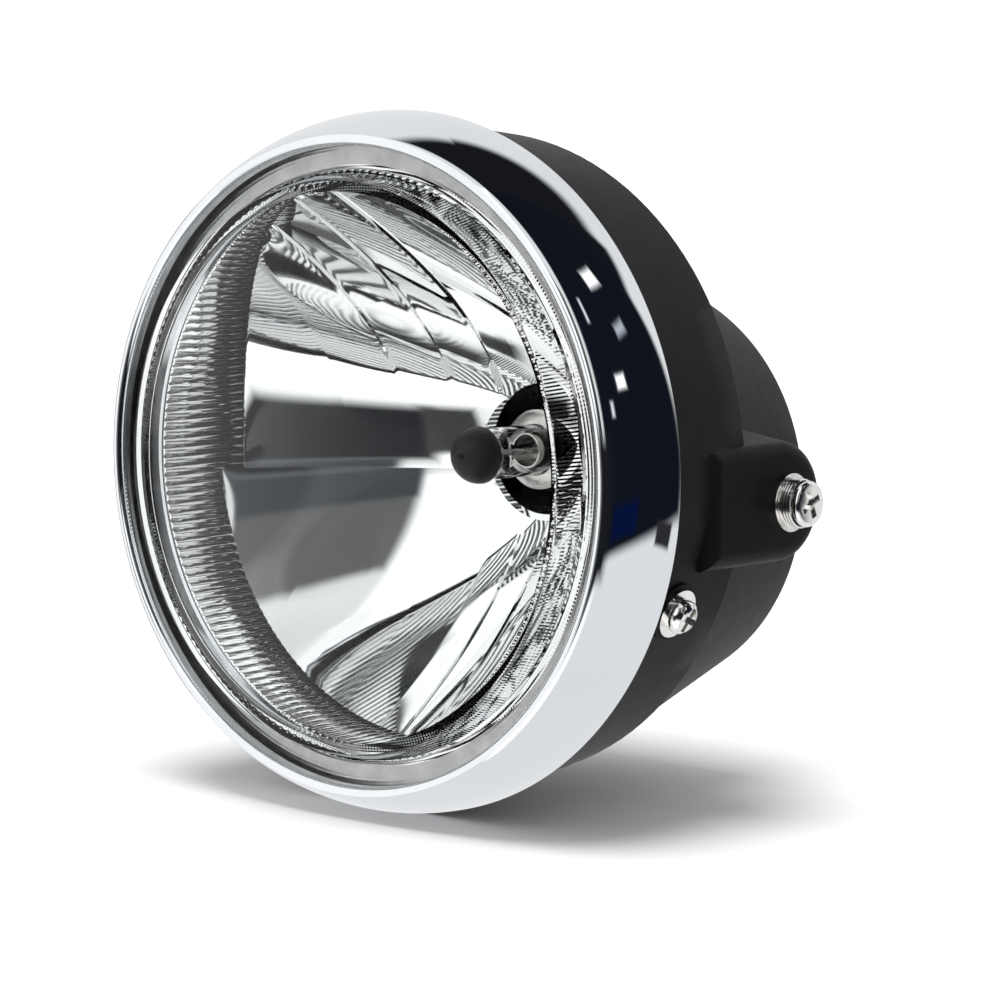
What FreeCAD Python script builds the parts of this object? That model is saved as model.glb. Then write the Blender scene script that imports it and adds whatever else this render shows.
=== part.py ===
"""Round motorcycle headlight: bezel, lens and mirror unit, bulb, rear housing and its fixings."""
import FreeCAD
import Part
import math
import os
import re
import Sketcher

# Driving sizes in millimetres and degrees. A "depth" is measured back from the lens crown,
# a "radius" from the lamp axis, and a "face" or "reach" from the tilt axis.
SIZES = {
    # whole lamp
    "axis_rise": 7.1,
    "tilt_depth": 85.0,
    "play": 0.15,
    # lens
    "lens_rise": 11.0,
    "dome_radius": 72.0,
    "shoulder_radius": 74.4,
    "rim_depth": 18.0,
    "rim_radius": 83.5,
    "rim_thickness": 4.4,
    "glass_wall": 3.0,
    # bezel
    "bezel_radius": 90.0,
    "bezel_depth": 36.0,
    "crest_depth": 14.1,
    "lip_radius": 80.9,
    "crest_bend": 1.6,
    "bezel_sheet": 0.8,
    # seal between lens and mirror
    "seal_thickness": 1.0,
    "seal_radius": 76.0,
    # mirror
    "mirror_vertex": 98.0,
    "upper_focus_wide": 29.0,
    "upper_focus_tall": 17.0,
    "lower_focus": 24.3,
    "ledge_drop": 7.0,
    "mirror_wall": 2.5,
    "flange_thickness": 3.0,
    "flute_radius": 72.0,
    "flute_height": 1.3,
    "flute_count": 180,
    "column_width": 13.0,
    "column_count": 11,
    "column_step": 0.7,
    "barrel_wall": 2.4,
    "neck_radius": 17.5,
    "neck_depth": 102.0,
    "collar_radius": 22.5,
    "collar_depth": 110.0,
    "seat_depth": 106.0,
    "seat_radius": 20.0,
    # bulb
    "tip_depth": 67.6,
    "tip_radius": 7.6,
    "tip_coat": 0.4,
    "coat_gap": 0.05,
    "nib_radius": 1.1,
    "nib_length": 1.5,
    "waist_depth": 70.5,
    "waist_radius": 5.8,
    "tube_depth": 74.0,
    "tube_radius": 6.8,
    "tube_wall": 0.9,
    "base_front": 90.0,
    "cup_depth": 95.0,
    "base_radius": 10.9,
    "base_bevel": 1.2,
    "base_slack": 0.45,
    "base_flange": 1.2,
    "cap_radius": 12.0,
    "cap_depth": 113.0,
    "shield_radius": 4.7,
    "shield_wall": 0.4,
    "shield_depth": 86.0,
    "post_spread": 3.0,
    "post_radius": 0.5,
    "filament_radius": 0.7,
    "main_depth": 78.0,
    "dip_depth": 83.0,
    "insulator_thickness": 3.0,
    "insulator_radius": 11.0,
    "blade_width": 6.3,
    "blade_thickness": 0.8,
    "blade_length": 8.0,
    "blade_spread": 6.5,
    "spring_wire": 0.8,
    "spring_angle": 300.0,
    # rubber cover behind the bulb
    "boot_front": 101.0,
    "boot_wall": 2.0,
    "boot_neck": 13.0,
    "boot_shoulder": 118.0,
    "boot_end": 123.0,
    # rear housing
    "housing_wall": 2.4,
    "housing_front": 29.0,
    "skirt_slack": 0.2,
    "skirt_rear_radius": 84.6,
    "ridge_depth": 70.0,
    "ridge_round": 1.0,
    "shell_drop": 12.0,
    "shell_taper": 15.0,
    "corner_spread": 49.9,
    "corner_depth": 132.5,
    "corner_radius": 6.5,
    "corner_sweep": 80.0,
    "back_radius": 24.0,
    "back_depth": 139.0,
    # tilt fixings
    "boss_face": 87.3,
    "boss_half_height": 14.6,
    "boss_reach": 32.0,
    "boss_round": 4.5,
    "boss_root": 30.0,
    "boss_taper": 9.0,
    "tilt_washer_radius": 7.4,
    "tilt_washer_thickness": 0.9,
    "tilt_collar_radius": 6.25,
    "tilt_collar_length": 3.2,
    "tilt_screw_radius": 3.0,
    "tilt_screw_length": 16.0,
    "tilt_head_radius": 5.95,
    "tilt_head_height": 2.5,
    "tilt_head_bevel": 0.7,
    "insert_radius": 6.0,
    "insert_length": 8.0,
    "thread_gap": 0.05,
    "recess_width": 1.6,
    "recess_length": 6.4,
    "recess_depth": 1.5,
    # bezel fixings
    "screw_drop": 21.2,
    "screw_depth": 45.6,
    "pad_radius": 7.5,
    "pad_face": 87.5,
    "bezel_washer_radius": 6.4,
    "bezel_washer_thickness": 1.0,
    "bezel_screw_radius": 2.5,
    "bezel_screw_length": 12.0,
    "bezel_head_radius": 4.4,
    "bezel_head_height": 3.6,
    "bezel_head_bevel": 1.3,
    "strap_width": 14.0,
    "strap_thickness": 1.2,
    "strap_face": 83.0,
    "strap_end": 51.0,
    "nut_across": 8.0,
    "nut_thickness": 3.6,
    # springs that hold the lens unit in the bezel
    "clip_count": 4,
    "clip_width": 12.0,
    "clip_thickness": 0.8,
    "clip_inner_radius": 78.0,
    "clip_return": 1.2,
    # wiring grommet
    "inlet_radius": 15.0,
    "grommet_bore": 9.0,
    "grommet_flange": 18.0,
    "grommet_lip": 2.2,
}

doc = FreeCAD.newDocument("motorcycle_headlight")
sheet = doc.addObject("Spreadsheet::Sheet", "Sizes")
for row, (name, number) in enumerate(SIZES.items(), 1):
    sheet.set(f"A{row}", name)
    sheet.set(f"B{row}", str(number))
    sheet.setAlias(f"B{row}", name)
doc.recompute()

PARTS = []
ORIGIN = FreeCAD.Vector(0, 0, 0)
ACROSS = FreeCAD.Vector(1, 0, 0)
BACK = FreeCAD.Vector(0, 1, 0)
UP = FreeCAD.Vector(0, 0, 1)


def bound(text):
    """Expression in which each size is read from the sheet."""
    return re.sub(r"[a-z][a-z_]*", lambda m: f"Sizes.{m[0]}" if m[0] in SIZES else m[0], str(text))


def size(text):
    """Number that an expression of sizes gives now."""
    return float(sheet.evalExpression(bound(text)))


def keep(item, label):
    """Marks a finished sub-part and names its file."""
    item.Label = label
    PARTS.append(item)
    return item


LAMP = FreeCAD.Vector(0, -size("tilt_depth"), size("axis_rise"))
ON_LAMP = FreeCAD.Placement(LAMP, FreeCAD.Rotation())
SHELL = LAMP - UP * size("shell_drop")
ON_SHELL = FreeCAD.Placement(SHELL, FreeCAD.Rotation())
SIDES = {"left": 1, "right": -1}


def towards(base, direction, axis=BACK):
    """Placement that turns a piece's own axis to a direction."""
    return FreeCAD.Placement(base, FreeCAD.Rotation(axis, direction))


# Sketches and simple solids

def arc_between(start, end, radius, turn):
    """Short arc from start to end: turn 1 runs anticlockwise, -1 clockwise."""
    chord = end - start
    left = FreeCAD.Vector(-chord.y, chord.x, 0).normalize()
    middle = (start + end) * 0.5
    height = math.sqrt(radius ** 2 - (chord.Length / 2) ** 2)
    return Part.Arc(start, middle + left * (turn * (height - radius)), end)


def draw(sketch, corners):
    """Closed outline through corners (x, y), or (x, y, radius, turn) where an arc leads on."""
    places = [FreeCAD.Vector(size(c[0]), size(c[1]), 0) for c in corners]
    ends = []
    for index, corner in enumerate(corners):
        start, end = places[index], places[(index + 1) % len(corners)]
        if len(corner) == 2:
            sketch.addGeometry(Part.LineSegment(start, end))
            ends.append((1, 2))
        else:
            sketch.addGeometry(arc_between(start, end, size(corner[2]), corner[3]))
            ends.append((1, 2) if corner[3] > 0 else (2, 1))
    for index, corner in enumerate(corners):
        before = (index - 1) % len(corners)
        sketch.addConstraint(
            Sketcher.Constraint("Coincident", before, ends[before][1], index, ends[index][0])
        )
        for kind, value, axis in (("DistanceX", corner[0], -2), ("DistanceY", corner[1], -1)):
            if value == "0":
                sketch.addConstraint(Sketcher.Constraint("PointOnObject", index, ends[index][0], axis))
                continue
            row = sketch.addConstraint(
                Sketcher.Constraint(kind, -1, 1, index, ends[index][0], size(value))
            )
            sketch.setExpression(f"Constraints[{row}]", bound(value))
        if len(corner) == 4:
            row = sketch.addConstraint(Sketcher.Constraint("Radius", index, size(corner[2])))
            sketch.setExpression(f"Constraints[{row}]", bound(corner[2]))


def section(body, name, plane, corners):
    """Sketch of a closed outline on one of a body's own origin planes."""
    sketch = body.newObject("Sketcher::SketchObject", name)
    support = [f for f in body.Origin.OriginFeatures if f.Role == plane][0]
    sketch.AttachmentSupport = [(support, "")]
    sketch.MapMode = "FlatFace"
    draw(sketch, corners)
    return sketch


def turned(name, corners, placement, angle="360"):
    """Body turned about its own Y axis from a half section of (radius, length along the axis)."""
    body = doc.addObject("PartDesign::Body", name)
    sketch = section(body, name + "_section", "XY_Plane", corners)
    turn = body.newObject("PartDesign::Revolution", name + "_turned")
    turn.Profile = sketch
    turn.ReferenceAxis = (sketch, ["V_Axis"])
    turn.setExpression("Angle", bound(angle))
    body.Placement = placement
    return body


def extruded(name, plane, corners, width, placement):
    """Body made by extending an outline evenly to both sides of its plane."""
    body = doc.addObject("PartDesign::Body", name)
    pad = body.newObject("PartDesign::Pad", name + "_pad")
    pad.Profile = section(body, name + "_section", plane, corners)
    pad.setExpression("Length", bound(width))
    pad.Midplane = True
    body.Tip = pad
    body.Placement = placement
    return body


def tube(inner, outer, front, back):
    """Half section of a plain ring."""
    return [(inner, front), (outer, front), (outer, back), (inner, back)]


def cylinder(name, radius, height, placement):
    """Plain cylinder along its own Z axis."""
    item = doc.addObject("Part::Cylinder", name)
    item.setExpression("Radius", bound(radius))
    item.setExpression("Height", bound(height))
    item.Placement = placement
    return item


def block(name, length, width, height, corner):
    """Plain box with its lowest corner at a place."""
    item = doc.addObject("Part::Box", name)
    for side, value in (("Length", length), ("Width", width), ("Height", height)):
        item.setExpression(side, bound(value))
    item.Placement.Base = corner
    return item


def fused(name, items):
    """Several solids as one."""
    item = doc.addObject("Part::MultiFuse", name)
    item.Shapes = items
    return item


def cut(name, base, tool):
    """One solid with another taken out of it."""
    item = doc.addObject("Part::Cut", name)
    item.Base = base
    item.Tool = tool
    return item


# Lens unit

def make_lens():
    """Clear domed glass with a flat rim."""
    ball = "((dome_radius^2+lens_rise^2)/(2*lens_rise))"
    inner_edge = "(dome_radius-glass_wall)"
    rim_back = "rim_depth+rim_thickness"
    corners = [
        ("0", "0", ball, 1),
        ("dome_radius", "lens_rise"),
        ("shoulder_radius", "rim_depth"),
        ("rim_radius", "rim_depth"),
        ("rim_radius", rim_back),
        ("shoulder_radius-glass_wall", rim_back),
        (inner_edge, f"{ball}-sqrt(({ball}-glass_wall)^2-{inner_edge}^2)", f"{ball}-glass_wall", -1),
        ("0", "glass_wall"),
    ]
    keep(turned("lens", corners, ON_LAMP), "lens")


# The bezel's outer curve leaves its rear edge along the axis and meets the bend at the crest.
BEND_RADIUS = "(lip_radius+crest_bend)"
BEND_DEPTH = "(crest_depth+crest_bend)"
FALL = f"(bezel_radius-{BEND_RADIUS})"
RUN = f"(bezel_depth-{BEND_DEPTH})"
BULGE = f"(({FALL}^2+{RUN}^2-crest_bend^2)/(2*({FALL}-crest_bend)))"


def inside_bezel(depth, width):
    """Radius at which a flat piece of some width clears the inside of the bezel."""
    hollow = f"bezel_radius-{BULGE}+sqrt(({BULGE}-bezel_sheet)^2-(bezel_depth-{depth})^2)"
    return f"({hollow}-{width}^2/(8*bezel_radius)-play)"


def make_bezel():
    """Pressed ring whose crest bends in to a lip on the lens rim."""
    out = f"(({BULGE}-{FALL})/({BULGE}-crest_bend))"
    ahead = f"({RUN}/({BULGE}-crest_bend))"
    thin = "bezel_sheet"
    corners = [
        ("bezel_radius", "bezel_depth", BULGE, -1),
        (f"{BEND_RADIUS}+crest_bend*{out}", f"{BEND_DEPTH}-crest_bend*{ahead}", "crest_bend", -1),
        ("lip_radius", BEND_DEPTH),
        ("lip_radius", "rim_depth"),
        (f"lip_radius+{thin}", "rim_depth"),
        (f"lip_radius+{thin}", BEND_DEPTH, f"crest_bend-{thin}", 1),
        (
            f"{BEND_RADIUS}+(crest_bend-{thin})*{out}",
            f"{BEND_DEPTH}-(crest_bend-{thin})*{ahead}",
            f"{BULGE}-{thin}",
            1,
        ),
        (f"bezel_radius-{thin}", "bezel_depth"),
    ]
    keep(turned("bezel", corners, ON_LAMP), "bezel")


def make_seal():
    """Ring between the lens rim and the mirror flange."""
    front = "rim_depth+rim_thickness"
    corners = tube("seal_radius", "rim_radius-play", front, f"{front}+seal_thickness")
    keep(turned("lens_seal", corners, ON_LAMP), "lens_seal")


FLANGE_FRONT = "(rim_depth+rim_thickness+seal_thickness)"
FLANGE_BACK = f"({FLANGE_FRONT}+flange_thickness)"


def dish(focus_wide, focus_tall, vertex):
    """Solid dish from the mirror flange back to its vertex, with two focal lengths."""
    front = size(FLANGE_FRONT)
    edge = math.sqrt(4 * focus_tall * (vertex - front))
    curve = Part.BezierCurve()
    curve.setPoles([
        FreeCAD.Vector(0, vertex, 0),
        FreeCAD.Vector(edge / 2, vertex, 0),
        FreeCAD.Vector(edge, front, 0),
    ])
    rim = Part.makeLine(FreeCAD.Vector(edge, front, 0), FreeCAD.Vector(0, front, 0))
    axis = Part.makeLine(FreeCAD.Vector(0, front, 0), FreeCAD.Vector(0, vertex, 0))
    solid = Part.Face(Part.Wire([curve.toShape(), rim, axis])).revolve(ORIGIN, BACK, 360)
    stretch = FreeCAD.Matrix()
    stretch.A11 = math.sqrt(focus_wide / focus_tall)
    return solid.transformGeometry(stretch)


def half_space(low, high, left=None, right=None):
    """Box over a range of heights, and of widths where they are given."""
    reach = 2 * size("bezel_radius")
    left = -reach if left is None else left
    right = reach if right is None else right
    return Part.makeBox(right - left, 2 * reach, high - low, FreeCAD.Vector(left, -reach / 2, low))


def mirror_columns(focus_wide, focus_tall, low, high):
    """One half of the mirror face, in upright columns set alternately back and forward."""
    width, count = size("column_width"), int(size("column_count"))
    reach = 2 * size("bezel_radius")
    columns = []
    for index in range(count):
        left = (index - count / 2) * width
        right = left + width
        left = -reach if index == 0 else left
        right = reach if index == count - 1 else right
        vertex = size("mirror_vertex") - size("column_step") * (index % 2)
        columns.append(dish(focus_wide, focus_tall, vertex).common(half_space(low, high, left, right)))
    return columns


def fluted_well():
    """Well behind the lens, with flutes that run front to back."""
    count = int(size("flute_count"))
    points = []
    for index in range(2 * count):
        radius = size("flute_radius") - size("flute_height") * (index % 2)
        angle = math.pi * index / count
        points.append(FreeCAD.Vector(radius * math.cos(angle), 0, radius * math.sin(angle)))
    base = Part.Face(Part.makePolygon(points + points[:1]))
    base.translate(BACK * size(FLANGE_FRONT))
    return base.extrude(BACK * (size("mirror_vertex") - size(FLANGE_FRONT)))


def ring_solid(radius, front, back):
    """Solid disc about the lamp axis."""
    return Part.makeCylinder(radius, back - front, BACK * front, BACK)


def make_mirror():
    """Mirror bowl: fluted side walls, stepped columns above and below a ledge, bulb collar."""
    wide, tall, low = size("upper_focus_wide"), size("upper_focus_tall"), size("lower_focus")
    ledge, wall = -size("ledge_drop"), size("mirror_wall")
    vertex, reach = size("mirror_vertex"), 2 * size("bezel_radius")
    front = size(FLANGE_FRONT)
    columns = mirror_columns(wide, tall, ledge, reach) + mirror_columns(low, low, -reach, ledge)
    face = columns[0].multiFuse(columns[1:]).common(fluted_well())
    upper = dish(wide, tall, vertex + wall).common(half_space(ledge - wall, reach))
    lower = dish(low, low, vertex + wall).common(half_space(-reach, ledge))
    barrel = ring_solid(size("flute_radius+barrel_wall"), front, vertex + wall)
    bowl = upper.fuse(lower).common(barrel)
    flange = ring_solid(size("rim_radius"), front, size(FLANGE_BACK))
    collar = ring_solid(size("collar_radius"), size("base_front"), size("collar_depth"))
    seat = ring_solid(size("seat_radius"), size("seat_depth"), size("collar_depth"))
    neck = ring_solid(size("neck_radius"), front, size("neck_depth"))
    hole = ring_solid(size("base_radius+play"), front, size("collar_depth"))
    shape = bowl.multiFuse([flange, collar]).cut(face).cut(seat).cut(neck).cut(hole)
    mirror = doc.addObject("Part::Feature", "reflector")
    mirror.Shape = shape.removeSplitter().Solids[0]
    mirror.Placement = ON_LAMP
    keep(mirror, "reflector")


def make_clips():
    """Flat springs between the bezel and the back of the mirror flange."""
    tip = inside_bezel(FLANGE_BACK, "clip_width")
    corners = [
        ("clip_inner_radius", FLANGE_BACK),
        (tip, FLANGE_BACK),
        (tip, f"{FLANGE_BACK}+clip_thickness+clip_return"),
        (f"{tip}-clip_thickness", f"{FLANGE_BACK}+clip_thickness+clip_return"),
        (f"{tip}-clip_thickness", f"{FLANGE_BACK}+clip_thickness"),
        ("clip_inner_radius", f"{FLANGE_BACK}+clip_thickness"),
    ]
    count = int(size("clip_count"))
    for index in range(count):
        turn = FreeCAD.Rotation(BACK, 360 * (index + 0.5) / count)
        name = f"unit_clip_{index + 1}"
        keep(extruded(name, "XY_Plane", corners, "clip_width", FreeCAD.Placement(LAMP, turn)), name)


# Bulb

def make_bulb():
    """Clear envelope with a black tip, posts and filaments, on a flanged metal base."""
    glass = "(tip_radius-tip_coat-coat_gap)"
    inner = f"({glass}-tube_wall)"
    foot = "cup_depth-play"
    keep(turned("bulb_glass", [
        ("0", f"tip_depth-{glass}", glass, 1),
        (glass, "tip_depth"),
        ("waist_radius", "waist_depth"),
        ("tube_radius", "tube_depth"),
        ("tube_radius", foot),
        ("tube_radius-tube_wall", foot),
        ("tube_radius-tube_wall", "tube_depth"),
        ("waist_radius-tube_wall", "waist_depth"),
        (inner, "tip_depth", inner, -1),
        ("0", f"tip_depth-{inner}"),
    ], ON_LAMP), "bulb_glass")
    nib_root = "tip_depth-sqrt(tip_radius^2-nib_radius^2)"
    coat = "(tip_radius-tip_coat)"
    keep(turned("bulb_tip", [
        ("0", "tip_depth-tip_radius-nib_length"),
        ("nib_radius", "tip_depth-tip_radius-nib_length"),
        ("nib_radius", nib_root, "tip_radius", 1),
        ("tip_radius", "tip_depth"),
        (coat, "tip_depth", coat, -1),
        ("0", f"tip_depth-{coat}"),
    ], ON_LAMP), "bulb_tip")
    keep(turned("bulb_base", [
        ("0", "cup_depth"),
        ("tube_radius+play", "cup_depth"),
        ("tube_radius+play", "base_front"),
        ("base_radius-base_bevel", "base_front"),
        ("base_radius", "base_front+base_bevel"),
        ("base_radius", "seat_depth"),
        ("seat_radius-base_slack", "seat_depth"),
        ("seat_radius-base_slack", "seat_depth+base_flange"),
        ("cap_radius", "seat_depth+base_flange"),
        ("cap_radius", "cap_depth"),
        ("0", "cap_depth"),
    ], ON_LAMP), "bulb_base")
    shield = tube("shield_radius-shield_wall", "shield_radius", "shield_depth", "cup_depth")
    keep(turned("bulb_shield", shield, ON_LAMP), "bulb_shield")
    post = [("0", "main_depth"), ("post_radius", "main_depth"), ("post_radius", "cup_depth"), ("0", "cup_depth")]
    for name, way in SIDES.items():
        place = FreeCAD.Placement(LAMP + ACROSS * way * size("post_spread"), FreeCAD.Rotation())
        keep(turned(f"bulb_post_{name}", post, place), f"bulb_post_{name}")
    for name, depth in (("main", "main_depth+filament_radius"), ("dip", "dip_depth")):
        start = LAMP + BACK * size(depth) - ACROSS * size("post_spread-post_radius")
        wire = cylinder(f"{name}_filament", "filament_radius", "2*(post_spread-post_radius)",
                        towards(start, ACROSS, UP))
        keep(wire, f"bulb_{name}_filament")


def make_bulb_back():
    """Insulator and blades behind the base, the spring that holds it and its rubber cover."""
    plate = [
        ("0", "cap_depth"),
        ("insulator_radius", "cap_depth"),
        ("insulator_radius", "cap_depth+insulator_thickness"),
        ("0", "cap_depth+insulator_thickness"),
    ]
    keep(turned("bulb_insulator", plate, ON_LAMP), "bulb_insulator")
    width, thin = size("blade_width"), size("blade_thickness")
    spread, start = size("blade_spread"), size("cap_depth+insulator_thickness")
    blades = (
        ("left", spread, 0, "blade_thickness", "blade_width"),
        ("right", -spread, 0, "blade_thickness", "blade_width"),
        ("top", 0, spread, "blade_width", "blade_thickness"),
    )
    for name, x, z, across, high in blades:
        flat = FreeCAD.Vector(width, start, thin) if name == "top" else FreeCAD.Vector(thin, start, width)
        corner = LAMP + FreeCAD.Vector(x - flat.x / 2, start, z - flat.z / 2)
        keep(block(f"blade_{name}", across, "blade_length", high, corner), f"bulb_terminal_{name}")
    spring = doc.addObject("PartDesign::Body", "bulb_spring")
    wire = spring.newObject("Sketcher::SketchObject", "spring_wire_section")
    wire.AttachmentSupport = [([f for f in spring.Origin.OriginFeatures if f.Role == "XY_Plane"][0], "")]
    wire.MapMode = "FlatFace"
    at = ("seat_radius-spring_wire-play", "seat_depth+base_flange+spring_wire")
    centre = FreeCAD.Vector(size(at[0]), size(at[1]), 0)
    wire.addGeometry(Part.Circle(centre, UP, size("spring_wire")))
    row = wire.addConstraint(Sketcher.Constraint("Radius", 0, size("spring_wire")))
    wire.setExpression(f"Constraints[{row}]", bound("spring_wire"))
    for kind, value in (("DistanceX", at[0]), ("DistanceY", at[1])):
        row = wire.addConstraint(Sketcher.Constraint(kind, -1, 1, 0, 3, size(value)))
        wire.setExpression(f"Constraints[{row}]", bound(value))
    coil = spring.newObject("PartDesign::Revolution", "spring_turned")
    coil.Profile = wire
    coil.ReferenceAxis = (wire, ["V_Axis"])
    coil.setExpression("Angle", bound("spring_angle"))
    spring.Placement = ON_LAMP
    keep(spring, "bulb_spring")
    fit = "(collar_radius+play)"
    keep(turned("bulb_boot", [
        (fit, "boot_front"),
        (f"{fit}+boot_wall", "boot_front"),
        (f"{fit}+boot_wall", "collar_depth+boot_wall"),
        ("boot_neck+boot_wall", "boot_shoulder+boot_wall"),
        ("boot_neck+boot_wall", "boot_end"),
        ("boot_neck", "boot_end"),
        ("boot_neck", "boot_shoulder"),
        (fit, "collar_depth+play"),
    ], ON_LAMP), "bulb_boot")


# Rear housing

SKIRT_FRONT = f"({inside_bezel('housing_front', '0')}-skirt_slack)"


def shell_profile(grow, front):
    """Half section of the tapered bucket behind the ridge, grown outwards by an amount."""
    swept = f"(corner_radius+{grow})"
    edge = f"(corner_spread+{swept}*cos(shell_taper))"
    start = f"(corner_depth+{swept}*sin(shell_taper))"
    return [
        ("0", front),
        (f"{edge}+({start}-({front}))*tan(shell_taper)", front),
        (edge, start, swept, 1),
        (f"corner_spread+{swept}*cos(corner_sweep)", f"corner_depth+{swept}*sin(corner_sweep)"),
        ("back_radius", f"back_depth+{grow}"),
        ("0", f"back_depth+{grow}"),
    ]


def make_boss():
    """Left boss: an outline with a round end, tapered outwards to its root and rounded at its face."""
    half = "boss_half_height"
    boss = extruded("housing_boss_left", "YZ_Plane", [
        ("-boss_reach", f"-{half}"),
        ("0", f"-{half}", half, 1),
        (half, "0", half, 1),
        ("0", half),
        ("-boss_reach", half),
    ], "boss_root", FreeCAD.Placement(ACROSS * size("boss_face"), FreeCAD.Rotation()))
    pad = boss.Tip
    pad.Midplane = False
    pad.Reversed = True
    pad.setExpression("TaperAngle", bound("boss_taper"))
    doc.recompute()
    rounds = boss.newObject("PartDesign::Fillet", "boss_rounds")
    ends = [f"Face{i}" for i, face in enumerate(pad.Shape.Faces, 1)
            if abs(face.CenterOfMass.x) < size("play")]
    rounds.Base = (pad, ends)
    rounds.setExpression("Radius", bound("boss_round"))
    boss.Tip = rounds
    return boss


def make_housing():
    """Moulded bowl: a skirt, a lower tapered bucket, side bosses, screw pads and a wiring hole."""
    skirt = turned("housing_skirt", [
        ("0", "housing_front"),
        (SKIRT_FRONT, "housing_front"),
        ("skirt_rear_radius", "ridge_depth-ridge_round", "ridge_round", 1),
        ("skirt_rear_radius-ridge_round", "ridge_depth"),
        ("0", "ridge_depth"),
    ], ON_LAMP)
    bowl = turned("housing_bowl", shell_profile("0", "ridge_depth-ridge_round"), ON_SHELL)
    boss = make_boss()
    mirrored = doc.addObject("Part::Mirroring", "housing_boss_right")
    mirrored.Source = boss
    mirrored.Normal = ACROSS
    solids = [skirt, bowl, boss, mirrored]
    hollow = shell_profile("(-housing_wall)", "ridge_depth-housing_wall")
    front_in = [
        ("0", "housing_front-play"),
        (f"{SKIRT_FRONT}-housing_wall", "housing_front-play"),
        ("skirt_rear_radius-housing_wall", "ridge_depth-housing_wall"),
        ("0", "ridge_depth-housing_wall"),
    ]
    cuts = [
        turned("housing_hollow_front", front_in, ON_LAMP),
        turned("housing_hollow", hollow, ON_SHELL),
        cylinder("inlet_hole", "inlet_radius", "4*housing_wall",
                 towards(SHELL + BACK * size("back_depth-2*housing_wall"), BACK, UP)),
    ]
    for name, way in SIDES.items():
        solids.append(cylinder(f"screw_pad_{name}", "pad_radius", "pad_face",
                               towards(screw_place(), screw_way(way), UP)))
        cuts.append(cylinder(f"bezel_screw_hole_{name}", "bezel_screw_radius+play", "bezel_radius",
                             towards(screw_place(), screw_way(way), UP)))
        cuts.append(cylinder(f"tilt_screw_hole_{name}", "tilt_screw_radius+play", "boss_face",
                             towards(ORIGIN, ACROSS * way, UP)))
        start = ACROSS * (way * size("boss_face-insert_length"))
        cuts.append(cylinder(f"insert_pocket_{name}", "insert_radius", "insert_length",
                             towards(start, ACROSS * way, UP)))
    keep(cut("rear_housing", fused("housing_solid", solids), fused("housing_cuts", cuts)), "rear_housing")


def make_grommet():
    """Rubber ring in the hole at the middle of the back."""
    inner, outer = "back_depth-housing_wall", "back_depth"
    keep(turned("wiring_grommet", [
        ("grommet_bore", f"{inner}-grommet_lip"),
        ("grommet_flange", f"{inner}-grommet_lip"),
        ("grommet_flange", inner),
        ("inlet_radius-play", inner),
        ("inlet_radius-play", outer),
        ("grommet_flange", outer),
        ("grommet_flange", f"{outer}+grommet_lip"),
        ("grommet_bore", f"{outer}+grommet_lip"),
    ], ON_SHELL), "wiring_grommet")


# Fixings on both sides

def screw_place():
    """Point on the lamp axis level with the bezel screws."""
    return LAMP + BACK * size("screw_depth")


def screw_way(way):
    """Direction of a bezel screw, out from the lamp axis and down to one side."""
    drop = math.radians(size("screw_drop"))
    return FreeCAD.Vector(way * math.cos(drop), 0, -math.sin(drop))


def screw(name, corners, head, placement):
    """Screw turned from a half section, with a cross recess in its head."""
    blank = turned(name + "_blank", corners, placement)
    arms = []
    crossed = (("recess_length", "recess_width"), ("recess_width", "recess_length"))
    for arm, (long, wide) in enumerate(crossed):
        item = doc.addObject("Part::Box", f"{name}_recess_{arm}")
        item.setExpression("Length", bound(long))
        item.setExpression("Width", bound("2*recess_depth"))
        item.setExpression("Height", bound(wide))
        corner = FreeCAD.Vector(-size(long) / 2, size(f"{head}-recess_depth"), -size(wide) / 2)
        item.Placement = placement.multiply(FreeCAD.Placement(corner, FreeCAD.Rotation()))
        arms.append(item)
    return cut(name, blank, fused(name + "_recess", arms))


def make_tilt_fixings(name, way):
    """Insert, washer, collar and screw on the tilt axis at one side."""
    place = towards(ORIGIN, ACROSS * way)
    seat = "(boss_face+tilt_washer_thickness)"
    under = f"({seat}+tilt_collar_length)"
    top = f"({under}+tilt_head_height)"
    hole = "tilt_screw_radius+play"
    thread = "tilt_screw_radius+thread_gap"
    insert = tube(thread, "insert_radius", "boss_face-insert_length", "boss_face")
    keep(turned(f"tilt_insert_{name}", insert, place), f"tilt_insert_{name}")
    washer = tube(hole, "tilt_washer_radius", "boss_face", seat)
    keep(turned(f"tilt_washer_{name}", washer, place), f"tilt_washer_{name}")
    collar = tube(hole, "tilt_collar_radius", seat, under)
    keep(turned(f"tilt_collar_{name}", collar, place), f"tilt_collar_{name}")
    bolt = [
        ("0", f"{under}-tilt_screw_length"),
        ("tilt_screw_radius", f"{under}-tilt_screw_length"),
        ("tilt_screw_radius", under),
        ("tilt_head_radius", under),
        ("tilt_head_radius", f"{top}-tilt_head_bevel"),
        ("tilt_head_radius-tilt_head_bevel", top),
        ("0", top),
    ]
    keep(screw(f"tilt_screw_{name}", bolt, top, place), f"tilt_screw_{name}")


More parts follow.
